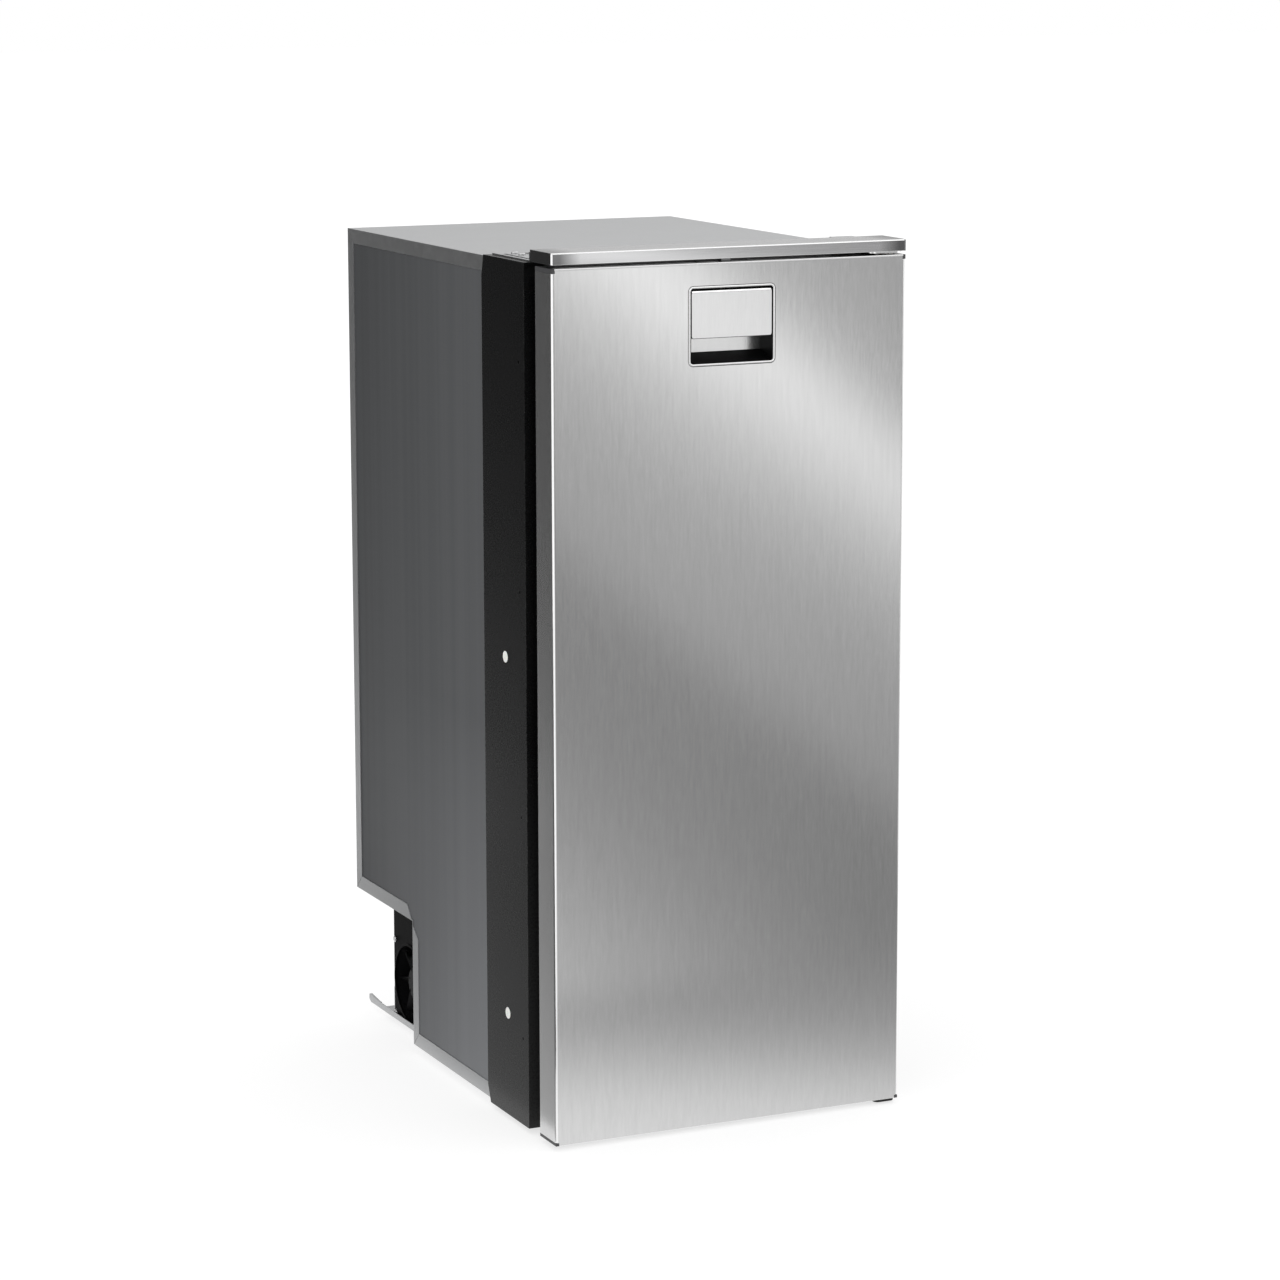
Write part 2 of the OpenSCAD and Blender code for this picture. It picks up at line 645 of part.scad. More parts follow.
module control_housing() color(white) in_place() {
    difference() {
        block([housing_x, housing_y[0], housing_z[0]], [cavity_x, housing_y[1], housing_z[1]]);
        block([housing_x + 2, housing_y[0] + 2, housing_z[0] + 2], [cavity_x + 1, housing_y[1] - 2, housing_z[1] - 2]);
        block([housing_x - 1, lens_y[0], lens_z[0]], [housing_x + 3, lens_y[1], lens_z[1]]);
        rod_x(knob_shaft_r + running, knob_pos[0], knob_pos[1], housing_x - 1, housing_x + 3);
    }
    for (z = [housing_z[0] + 6, housing_z[1] - 8])
        block([housing_x + 2, housing_y[0] + 8, z], [housing_x + 5, lens_y[0] - 4, z + 2]);
}

module thermostat() color(zinc) in_place() difference() {
    block([housing_x + 6, knob_pos[0] - 18, knob_pos[1] - 20], [cavity_x, knob_pos[0] + 18, knob_pos[1] + 20]);
    rod_x(knob_shaft_r + running, knob_pos[0], knob_pos[1], housing_x + 5, cavity_x - 4);
}

module thermostat_knob() color("#E4E4E0") in_place() {
    y = knob_pos[0];
    z = knob_pos[1];
    difference() {
        rod_x(15, y, z, housing_x - 12, housing_x - 1);
        for (a = [0:20:340]) translate([housing_x - 13, y, z]) rotate([a, 0, 0])
            translate([0, 15.6, 0]) rotate([0, 90, 0]) cylinder(r = 1.4, h = 9, $fn = 16);
        block([housing_x - 13, y - 0.8, z + 4], [housing_x - 11.4, y + 0.8, z + 13]);
    }
    rod_x(16, y, z, housing_x - 3, housing_x - 1);
    rod_x(knob_shaft_r, y, z, housing_x - 2, cavity_x - 6);
}

module lamp_lens() color("#FAFAF0") in_place() {
    block([housing_x - 1, lens_y[0] + 0.2, lens_z[0] + 0.2], [housing_x + 2, lens_y[1] - 0.2, lens_z[1] - 0.2]);
    for (z = [lens_z[0] + 6 : 5 : lens_z[1] - 6])
        block([housing_x - 1.8, lens_y[0] + 3, z], [housing_x - 1, lens_y[1] - 3, z + 2.5]);
}

module lamp_board() color("#2F7A43") in_place() {
    block([housing_x + 8, lens_y[0] + 2, lens_z[0] + 4], [housing_x + 9.6, lens_y[1] - 2, lens_z[1] - 4]);
    for (z = [lens_z[0] + 12, lens_z[0] + 26, lens_z[0] + 40])
        block([housing_x + 7, (lens_y[0] + lens_y[1]) / 2 - 2.5, z - 2.5],
              [housing_x + 8, (lens_y[0] + lens_y[1]) / 2 + 2.5, z + 2.5]);
    block([housing_x + 9.6, lens_y[0] + 14, lens_z[0] + 20], [cavity_x, lens_y[0] + 22, lens_z[0] + 28]);
}

module wire_shelf(z) color("#E8E8E4") in_place() {
    x = cavity_x - 5;
    r = 2.5;
    zr = z + r;
    both_sides() rod_y(r, x, zr, shelf_y[0], shelf_y[1]);
    for (y = [shelf_y[0], (shelf_y[0] + shelf_y[1]) / 2, shelf_y[1]]) {
        rod_x(r, y, zr, -x, x);
        both_sides() translate([x, y, zr]) sphere(r = r);
    }
    for (i = [-7:7]) rod_y(1.3, i * 20, zr + r, shelf_y[0] - 1, shelf_y[1] + 1);
}

module crisper_cover() color("#DDE8EE") in_place() {
    z = inner_step_z;
    block([-cavity_x + 1, crisper_y[0] - 6, z], [cavity_x - 1, inner_step_y + 8, z + 4]);
}

module crisper_bin() color("#DDE8EE") in_place() {
    z = [floor_z + 0.3, 168];
    t = 2.5;
    difference() {
        block([-crisper_x, crisper_y[0], z[0]], [crisper_x, crisper_y[1], z[1]]);
        block([-crisper_x + t, crisper_y[0] + t, z[0] + t], [crisper_x - t, crisper_y[1] - t, z[1] + 1]);
    }
    // front pull and rim
    block([-crisper_x, crisper_y[0] - 6, z[1] - 3], [crisper_x, crisper_y[0], z[1]]);
    block([-crisper_x, crisper_y[0] - 6, z[1] - 14], [crisper_x, crisper_y[0] - 4, z[1] - 3]);
}

// ---------------------------------------------------------------- door

// Plan outline of the door's steel, i inside its outer faces, with rounded front edges.
function door_plan(i, back) = concat(
    [[half_w - i, back], [-half_w + i, back]],
    arc([-half_w + door_r, door_r], door_r - i, 180, 270, 6),
    arc([half_w - door_r, door_r], door_r - i, 270, 360, 6));

return_x = half_w - 14;
fold_y = 10;

module door_skin() color(steel) in_place() {
    difference() {
        profile_z(door_plan(0, door_t), 0, door_h);
        profile_z(door_plan(sheet, door_t - sheet), sheet, door_h - sheet);
        block([-return_x, door_t - sheet - 1, -1], [return_x, door_t + 1, door_h + 1]);
        // the plastic caps show at the sides and behind the folded front edges
        block([-half_w - 1, fold_y, door_h - top_cap_h], [half_w + 1, door_t + 1, door_h + 1]);
        block([-half_w - 1, fold_y, -1], [half_w + 1, door_t + 1, bottom_cap_h]);
        both_sides() {
            block([cap_fold_x, -1, door_h - top_cap_h], [half_w + 1, door_t, door_h + 1]);
            block([cap_fold_x, -1, -1], [half_w + 1, door_t, bottom_cap_h]);
        }
        handle_hole(0);
    }
}

// Opening for the handle through the steel and the foam.
module handle_hole(gap) block([-bezel_x + 2 - gap, -1, bezel_z0 + 2 - gap],
                              [bezel_x - 2 + gap, cup_depth + 2 + gap, bezel_z1 - 2 + gap]);

module bush_bores() for (z = [[-1, 15], [door_h - 15, door_h + 1]]) rod_z(bush_r, hinge_x, hinge_y, z[0], z[1]);

module latch_channel(gap) block([-5 - gap, 14 - gap, paddle_pivot[1] - 13],
                                 [5 + gap, 20 + gap, door_h + 1]);

module door_foam() color("#E9DFA8") in_place() difference() {
    union() {
        profile_z(door_plan(sheet, door_t - sheet), bottom_cap_h, door_h - top_cap_h);
        block([-return_x, door_t - sheet, bottom_cap_h + 3], [return_x, door_t, door_h - top_cap_h - 3]);
        block([-plinth_x + liner_t, door_t, plinth_z[0] + liner_t],
              [plinth_x - liner_t, plinth_y - liner_t, plinth_z[1] - liner_t]);
    }
    handle_hole(0);
    latch_channel(1);
    bush_bores();
}

module door_liner() color(white) in_place() {
    difference() {
        union() {
            block([-half_w + 4, door_t, 6], [half_w - 4, door_t + liner_t, door_h - 6]);
            block([-plinth_x, door_t, plinth_z[0]], [plinth_x, plinth_y, plinth_z[1]]);
        }
        block([-plinth_x + liner_t, door_t - 1, plinth_z[0] + liner_t],
              [plinth_x - liner_t, plinth_y - liner_t, plinth_z[1] - liner_t]);
    }
    // upright ribs that carry the bins
    both_sides() block([bin_x + 1, plinth_y, bin_z[0] - 10], [bin_x + 9, plinth_y + 12, plinth_z[1] - 10]);
}

// Square ring of the gasket between two depths, its outer edge at x and its bars w wide.
module gasket_ring(x, w, y0, y1) difference() {
    m = half_w - x;
    block([-x, y0, m], [x, y1, door_h - m]);
    block([-x + w, y0 - 1, m + w], [x - w, y1 + 1, door_h - m - w]);
}
module door_gasket() color(black) in_place() {
    y0 = door_t + liner_t;
    y1 = collar_y - 0.1;
    gasket_ring(gasket_x - 2, gasket_w - 4, y0, y0 + 4);
    gasket_ring(gasket_x - 5, gasket_w - 10, y0 + 4, y0 + 7);
    gasket_ring(gasket_x - 2, gasket_w - 4, y0 + 7, y0 + 10);
    gasket_ring(gasket_x - 5, gasket_w - 10, y0 + 10, y0 + 13);
    gasket_ring(gasket_x, gasket_w, y0 + 13, y1);
}

module end_cap(z0, z1, fold_z0, fold_z1) difference() {
    block([-half_w, 0, z0], [half_w, door_t, z1]);
    block([-cap_fold_x, -1, z0 - 1], [cap_fold_x, sheet, z1 + 1]);
    block([-cap_fold_x, -1, fold_z0], [cap_fold_x, fold_y, fold_z1]);
    bush_bores();
    latch_channel(0.3);
}
module door_cap_top() color(grey) in_place()
    end_cap(door_h - top_cap_h, door_h, door_h - sheet, door_h + 1);
module door_cap_bottom() color(grey) in_place()
    end_cap(0, bottom_cap_h, -1, sheet);

module hinge_bushes() color(white) in_place() difference() {
    union() {
        rod_z(bush_r, hinge_x, hinge_y, door_h - 15, door_h);
        rod_z(bush_r + 2.5, hinge_x, hinge_y, door_h, door_h + 0.8);
        rod_z(bush_r, hinge_x, hinge_y, 0, 15);
        rod_z(bush_r + 2.5, hinge_x, hinge_y, -0.8, 0);
    }
    rod_z(hinge_pin_r + running, hinge_x, hinge_y, door_h - 14.5, door_h + 2);
    rod_z(hinge_pin_r + running, hinge_x, hinge_y, -2, 13);
}

module door_bins() color("#DDE8EE") in_place() for (z = bin_z) {
    h = z == bin_z[0] ? 90 : 62;
    t = 2;
    difference() {
        block([-bin_x, plinth_y, z], [bin_x, bin_y1, z + h]);
        block([-bin_x + t, plinth_y + t, z + t], [bin_x - t, bin_y1 - t, z + h + 1]);
    }
    block([-bin_x, bin_y1 - t - 4, z + h], [bin_x, bin_y1, z + h + 3]);
}

// ---------------------------------------------------------------- handle and latch

module handle_housing() color("#232325") in_place() {
    z0 = handle_open_z[0];
    z1 = handle_open_z[1];
    x = handle_open_x;
    difference() {
        union() {
            profile_y(round_rect([-bezel_x, bezel_z0], [bezel_x, bezel_z1], 5.5), -0.6, 0);
            block([-bezel_x + 2, 0, bezel_z0 + 2], [bezel_x - 2, cup_depth + 2, bezel_z1 - 2]);
        }
        profile_y(round_rect([-x, z0], [x, z1], 3), -2, 2);
        // hollow with a floor that climbs towards the back
        profile_x([[1, z0], [cup_depth, z0 + 8], [cup_depth, z1], [1, z1]], -x, x);
        latch_channel(0.4);
        rod_x(paddle_pin_r, paddle_pivot[0], paddle_pivot[1], -x - 1, x + 1);
    }
}

// Bright plate on the back wall of the handle's recess.
module handle_backplate() color(steel) in_place()
    block([-handle_open_x, cup_depth - 1, handle_open_z[0] + 8], [handle_open_x, cup_depth, paddle_pivot[1] - 14]);

// Pin that the paddle turns on, held in both side walls of the housing.
module handle_pin() color(zinc) in_place()
    rod_x(paddle_pin_r, paddle_pivot[0], paddle_pivot[1], -handle_open_x - 1, handle_open_x + 1);

module handle_paddle() color(steel) in_place() {
    x = handle_open_x - 0.9;
    top = handle_open_z[1] - 1;
    y = paddle_pivot[0];
    z = paddle_pivot[1];
    difference() {
        union() {
            profile_x([[0.2, paddle_z0 + 0.6], [0.8, paddle_z0], [12, paddle_z0], [12, paddle_z0 + 1.6],
                       [2.6, paddle_z0 + 1.6], [2.6, z - 4], [6, z - 3], [6.8, z], [5.5, top - 0.4],
                       [2.6, top], [0.2, top - 2.4]], -x, x);
            block([-3, 4, z - 3], [3, 18, z - 0.5]);
        }
        rod_x(paddle_pin_r + running, y, z, -x - 1, x + 1);
    }
}

module latch_bolt() color(zinc) in_place() difference() {
    block([-5, 14, paddle_pivot[1] - 12], [5, 20, latch_top]);
    block([-3.6, 13, paddle_pivot[1] - 8], [3.6, 21, paddle_pivot[1] + 3]);
    translate([-6, 14, latch_top]) rotate([35, 0, 0]) translate([0, -6, 0]) cube([12, 12, 6]);
}

casing();
side_panel_left();
side_panel_right();
front_collar();
cabinet_foam();
inner_liner();
top_trim();
trim_brackets();
strike_plate();
collar_plugs();
collar_screws();
top_hinge_plate();
bottom_hinge_plate();
hinge_pins();
feet();
base_tray();
bay_screws();
fan_shroud();
fan_frame();
fan_bracket();
fan_rotor();
condenser();
compressor();
compressor_mounts();
compressor_bolts();
discharge_line();
suction_line();
filter_drier();
capillary_tube();
suction_grommet();
control_module();
terminal_block();
evaporator();
evaporator_posts();
freezer_frame();
freezer_flap();
drip_tray();
control_housing();
thermostat();
thermostat_knob();
lamp_lens();
lamp_board();
wire_shelf(shelf_z[0]);  // wire_shelf_lower
wire_shelf(shelf_z[1]);  // wire_shelf_middle
wire_shelf(shelf_z[2]);  // wire_shelf_upper
crisper_cover();
crisper_bin();
door_skin();
door_foam();
door_liner();
door_gasket();
door_cap_top();
door_cap_bottom();
hinge_bushes();
door_bins();
handle_housing();
handle_backplate();
handle_pin();
handle_paddle();
latch_bolt();
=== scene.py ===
import json
import math

import bmesh
import bpy
from mathutils import Matrix, Vector

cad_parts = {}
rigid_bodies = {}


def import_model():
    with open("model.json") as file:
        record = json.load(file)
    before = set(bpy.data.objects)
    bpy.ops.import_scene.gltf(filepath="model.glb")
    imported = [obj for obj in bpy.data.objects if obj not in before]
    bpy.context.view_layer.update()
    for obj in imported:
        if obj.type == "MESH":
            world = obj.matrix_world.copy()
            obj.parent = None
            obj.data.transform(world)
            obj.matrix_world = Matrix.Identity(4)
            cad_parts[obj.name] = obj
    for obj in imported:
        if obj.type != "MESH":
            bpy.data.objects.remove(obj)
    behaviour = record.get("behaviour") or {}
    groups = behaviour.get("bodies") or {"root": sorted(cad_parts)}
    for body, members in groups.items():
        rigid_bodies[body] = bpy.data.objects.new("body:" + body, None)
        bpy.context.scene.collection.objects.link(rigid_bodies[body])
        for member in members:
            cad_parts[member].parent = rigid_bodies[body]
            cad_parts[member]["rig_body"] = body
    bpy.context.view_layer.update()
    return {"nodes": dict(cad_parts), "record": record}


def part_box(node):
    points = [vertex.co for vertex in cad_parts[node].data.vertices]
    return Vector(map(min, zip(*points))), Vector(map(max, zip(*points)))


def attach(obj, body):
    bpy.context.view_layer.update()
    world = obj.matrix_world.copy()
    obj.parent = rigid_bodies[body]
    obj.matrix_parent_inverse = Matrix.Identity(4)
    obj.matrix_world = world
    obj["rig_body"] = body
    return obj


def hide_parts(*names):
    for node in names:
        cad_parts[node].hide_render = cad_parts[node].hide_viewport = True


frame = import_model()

# Undercounter refrigerator: materials, rounded edges, small details, floor, light and camera
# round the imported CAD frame. Everything is in metres, in the frame's own axes.

MM = 0.001
scene = bpy.context.scene
SLOT_OF = {part["node"]: part["material_slot"] for part in frame["record"]["subparts"]}


# ---------------------------------------------------------------- material helpers

# A Mix node's sockets for colours, by number, because it has several of each name.
MIX_COLOUR_A = 6
MIX_COLOUR_B = 7
MIX_COLOUR_RESULT = 2


class Shader:
    """A new material, with short calls that add nodes to it and join them."""

    def __init__(self, name):
        self.material = bpy.data.materials.new(name)
        self.material.use_nodes = True
        self.nodes = self.material.node_tree.nodes
        self.links = self.material.node_tree.links
        self.surface = self.nodes["Principled BSDF"]
        self.place = self.add("ShaderNodeTexCoord").outputs["Object"]

    def add(self, kind, inputs=None, **settings):
        """One node with its settings; each input is a number, a colour or another node's output."""
        node = self.nodes.new(kind)
        for name, value in settings.items():
            setattr(node, name, value)
        for name, value in (inputs or {}).items():
            self.feed(node, name, value)
        return node

    def feed(self, node, name, value):
        if isinstance(value, bpy.types.NodeSocket):
            self.links.new(value, node.inputs[name])
        else:
            node.inputs[name].default_value = value

    def set(self, **inputs):
        """Inputs of the surface shader, with an underscore for each space in a name."""
        for name, value in inputs.items():
            self.feed(self.surface, name.replace("_", " "), value)

    def stretched(self, scale):
        """Place on the object, scaled per axis."""
        return self.add("ShaderNodeMapping", {"Vector": self.place, "Scale": scale}).outputs["Vector"]

    def noise(self, scale, detail=2.0, rough=0.5):
        """Soft noise; scale is in features per metre along each axis."""
        made = self.add("ShaderNodeTexNoise", {
            "Vector": self.stretched(scale), "Scale": 1.0, "Detail": detail, "Roughness": rough})
        return made.outputs["Fac"]

    def cells(self, scale, output="Color"):
        """Crystal-like cells: one random colour for each, or the distance to its middle."""
        made = self.add("ShaderNodeTexVoronoi", {"Vector": self.place, "Scale": scale})
        return made.outputs[output]

    def along(self, axis):
        """Place on the object along one axis, "X", "Y" or "Z"."""
        return self.add("ShaderNodeSeparateXYZ", {"Vector": self.place}).outputs[axis]

    def span(self, value, low, high, start=0.0, end=1.0):
        """The value moved from start..end to low..high."""
        made = self.add("ShaderNodeMapRange", {
            "Value": value, "From Min": start, "From Max": end, "To Min": low, "To Max": high})
        return made.outputs["Result"]

    def math(self, operation, a, b=0.5):
        made = self.add("ShaderNodeMath", operation=operation)
        self.feed(made, 0, a)
        self.feed(made, 1, b)
        return made.outputs["Value"]

    def tint(self, amount, low, high):
        """Colour between two, by an amount from 0 to 1."""
        made = self.add("ShaderNodeMix", data_type="RGBA")
        self.feed(made, "Factor", amount)
        self.feed(made, MIX_COLOUR_A, rgba(low))
        self.feed(made, MIX_COLOUR_B, rgba(high))
        return made.outputs[MIX_COLOUR_RESULT]

    def bump(self, height, depth, strength):
        """Normal of a fine relief, depth in metres."""
        inputs = {"Height": height, "Distance": depth, "Strength": strength}
        return self.add("ShaderNodeBump", inputs).outputs["Normal"]

    def edges(self, radius, start=0.02, end=0.25):
        """Mask that is 1 on the piece's edges and 0 on its faces."""
        soft = self.add("ShaderNodeBevel", {"Radius": radius}, samples=4).outputs["Normal"]
        flat = self.add("ShaderNodeNewGeometry").outputs["Normal"]
        turned = self.add("ShaderNodeVectorMath", operation="DOT_PRODUCT")
        self.feed(turned, 0, soft)
        self.feed(turned, 1, flat)
        return self.span(self.math("SUBTRACT", 1.0, turned.outputs["Value"]), 0.0, 1.0, start, end)


def rgba(colour):
    """A grey value, an (r, g, b) or a node's output, as a colour input takes it."""
    if isinstance(colour, bpy.types.NodeSocket):
        return colour
    if isinstance(colour, (int, float)):
        colour = (colour, colour, colour)
    return (*colour, 1.0)


def scaled(colour, factor):
    return tuple(channel * factor for channel in colour)


# ---------------------------------------------------------------- materials

def grain_scale(across, lengthwise, axis):
    """Noise scale of marks that run along an axis: how many to a metre across and along it."""
    scale = [across] * 3
    scale["xyz".index(axis)] = lengthwise
    return scale


def brushed(name, colour, grain, rough, contrast=0.06, sheen=0.55, lengthwise=90.0, dark_end=None):
    """Stainless sheet brushed along an axis: fine scratches (lengthwise is how many to a metre), faint
    wipe marks and a stretched gloss. The last argument is the distance from the middle, in metres,
    beyond which the sheet's colour turns darker; its gloss stays as it is."""
    s = Shader(name)
    dark_ramp = 0.022
    fine_scale = grain_scale(750.0, lengthwise, grain)
    wide_scale = grain_scale(300.0, lengthwise / 3, grain)
    fine = s.noise(fine_scale, detail=3.0, rough=0.65)
    wide = s.noise(wide_scale, detail=2.0)
    wiped = s.noise((5.0, 5.0, 3.0), detail=3.0)
    grained = s.math("ADD", s.span(fine, -0.5, 0.5), s.span(wide, -0.35, 0.35))
    shade = s.span(grained, 0.5 - contrast * 4, 0.5 + contrast * 4, -0.5, 0.5)
    base = s.tint(shade, scaled(colour, 0.88), scaled(colour, 1.08))
    if dark_end:
        distance = s.math("ABSOLUTE", s.along("X"))
        darkened = s.span(distance, 0.0, 1.0, dark_end, dark_end + dark_ramp)
        base = s.tint(darkened, base, scaled(colour, 0.3))
    gloss = s.math("ADD", s.span(fine, rough - 0.05, rough + 0.05), s.span(wiped, -0.02, 0.03))
    s.set(Base_Color=base,
          Metallic=1.0,
          Roughness=gloss,
          Anisotropic=sheen,
          Anisotropic_Rotation=0.25 if grain == "x" else 0.0,
          Tangent=s.add("ShaderNodeTangent", direction_type="RADIAL", axis="Z").outputs["Tangent"],
          Normal=s.bump(grained, 0.00002, 0.35))
    return s.material


def galvanised(name, colour, rough):
    """Zinc-coated sheet: small flat spangles, fine speckle and brighter worn edges."""
    s = Shader(name)
    spangle = s.add("ShaderNodeSeparateColor", {"Color": s.cells(210.0)}).outputs["Red"]
    speckle = s.noise((1300.0, 1300.0, 1300.0), detail=3.0, rough=0.7)
    cloud = s.noise((14.0, 14.0, 14.0), detail=3.0)
    worn = s.edges(0.0008)
    mottled = s.math("ADD", s.span(spangle, 0.0, 0.3), s.span(speckle, 0.1, 0.6, 0.3, 0.7))
    base = s.tint(mottled, scaled(colour, 0.86), scaled(colour, 1.1))
    gloss = s.math("ADD", s.span(spangle, rough - 0.03, rough + 0.05), s.span(cloud, -0.04, 0.05))
    s.set(Base_Color=s.tint(worn, base, scaled(colour, 1.35)),
          Metallic=1.0,
          Roughness=gloss,
          Normal=s.bump(speckle, 0.00003, 0.4))
    return s.material


def panel_coating(name, colour, rough):
    """Grey coated sheet with faint upright roller streaks. Its colour is painted lighter to the front
    and the foot: painted light for how the side is lit.
    """
    s = Shader(name)
    front, back = -0.11, 0.26
    foot_height = 0.4
    streak = s.noise((60.0, 60.0, 0.5), detail=3.0, rough=0.6)
    speckle = s.noise((1500.0, 1500.0, 1500.0), detail=2.0)
    scuffs = s.noise((9.0, 9.0, 60.0), detail=4.0, rough=0.7)
    # Painted light: the colour grows lighter towards the front and the foot, where the side is lit
    # more.
    forward = s.span(s.along("Y"), 1.0, 0.0, front, back)
    shade = s.math("MULTIPLY", forward, s.span(s.along("Z"), 0.72, 0.18, 0.0, foot_height))
    mixed = s.math("ADD", s.span(streak, 0.025, 0.085, 0.3, 0.7), s.span(speckle, -0.02, 0.03))
    gloss = s.math("ADD", s.span(speckle, rough - 0.03, rough + 0.03), s.span(scuffs, -0.03, 0.03))
    s.set(Base_Color=s.tint(s.math("ADD", mixed, shade), scaled(colour, 0.8), scaled(colour, 4.0)),
          Specular_IOR_Level=0.05,
          Roughness=gloss,
          Normal=s.bump(speckle, 0.00003, 0.5))
    return s.material


def enamel(name, colour, rough, peel=700.0, depth=0.00004, wear=0.10, coat=0.0, shine=0.5, painted_floor_reflection=None):
    """Painted or powder-coated metal with orange peel and lighter rubbed edges. The grey given last is
    painted into the colour towards the foot: a painted reflection of the bright floor."""
    s = Shader(name)
    painted_reflection_height = 0.4
    skin = s.noise((peel, peel, peel), detail=2.0)
    cloud = s.noise((11.0, 11.0, 11.0), detail=3.0)
    scratch = s.noise((60.0, 60.0, 60.0), detail=5.0, rough=0.75)
    rubbed = s.math("MULTIPLY", s.edges(0.0012), s.span(scratch, 0.0, 1.0, 0.42, 0.6))
    base = s.tint(cloud, scaled(colour, 0.85), scaled(colour, 1.2))
    # Painted reflection: the colour turns to the given grey towards the foot, where the bright floor
    # would reflect.
    if painted_floor_reflection:
        base = s.tint(s.span(s.along("Z"), 1.0, 0.0, 0.0, painted_reflection_height), base, painted_floor_reflection)
    gloss = s.math("ADD", s.span(skin, rough - 0.04, rough + 0.04), s.span(cloud, -0.03, 0.03))
    s.set(Base_Color=s.tint(s.math("MULTIPLY", rubbed, 0.6), base, wear),
          Roughness=gloss,
          Specular_IOR_Level=shine,
          Coat_Weight=coat,
          Coat_Roughness=0.15,
          Normal=s.bump(skin, depth, 0.5))
    return s.material


def moulded(name, colour, rough, grain=1100.0, depth=0.00003, clouding=0.05, soft=0.0, shine=0.5):
    """Moulded plastic with a fine eroded grain."""
    s = Shader(name)
    pores = s.noise((grain, grain, grain), detail=3.0, rough=0.6)
    cloud = s.noise((16.0, 16.0, 16.0), detail=3.0)
    gloss = s.math("ADD", s.span(pores, rough - 0.05, rough + 0.05), s.span(cloud, -0.03, 0.03))
    s.set(Base_Color=s.tint(cloud, scaled(colour, 1 - clouding), scaled(colour, 1 + clouding)),
          Roughness=gloss,
          Specular_IOR_Level=shine,
          Subsurface_Weight=soft,
          Subsurface_Scale=0.002,
          Normal=s.bump(pores, depth, 0.6))
    return s.material


def foamed(name, colour):
    """Cut polyurethane foam: open cells in two sizes."""
    s = Shader(name)
    cell = s.cells(900.0, output="Distance")
    lump = s.noise((45.0, 45.0, 45.0), detail=4.0)
    s.set(Base_Color=s.tint(lump, scaled(colour, 0.8), scaled(colour, 1.1)),
          Roughness=0.95,
          Normal=s.bump(s.math("ADD", cell, lump), 0.0005, 0.8))
    return s.material


def clear(name, colour, rough, ior):
    """Clear plastic or glass with faint haze and fine surface scratches."""
    s = Shader(name)
    haze = s.noise((25.0, 25.0, 25.0), detail=4.0)
    scratch = s.noise((900.0, 40.0, 900.0), detail=3.0)
    s.set(Base_Color=rgba(colour),
          Roughness=s.math("ADD", s.span(haze, rough, rough + 0.06), s.span(scratch, 0.0, 0.02)),
          IOR=ior,
          Transmission_Weight=1.0,
          Normal=s.bump(scratch, 0.000008, 0.2))
    return s.material


def rolled_metal(name, colour, rough, stain, along="y"):
    """Rolled or drawn metal with draw marks, dull patches and a little oxide."""
    s = Shader(name)
    marks = s.noise(grain_scale(800.0, 30.0, along), detail=3.0)
    oxide = s.noise((55.0, 55.0, 55.0), detail=5.0, rough=0.7)
    patch = s.span(oxide, 0.0, 1.0, 0.45, 0.68)
    gloss = s.math("ADD", s.span(marks, rough - 0.05, rough + 0.07), s.span(patch, 0.0, 0.14))
    s.set(Base_Color=s.tint(patch, colour, stain),
          Metallic=s.span(patch, 1.0, 0.85),
          Roughness=gloss,
          Normal=s.bump(marks, 0.00002, 0.4))
    return s.material


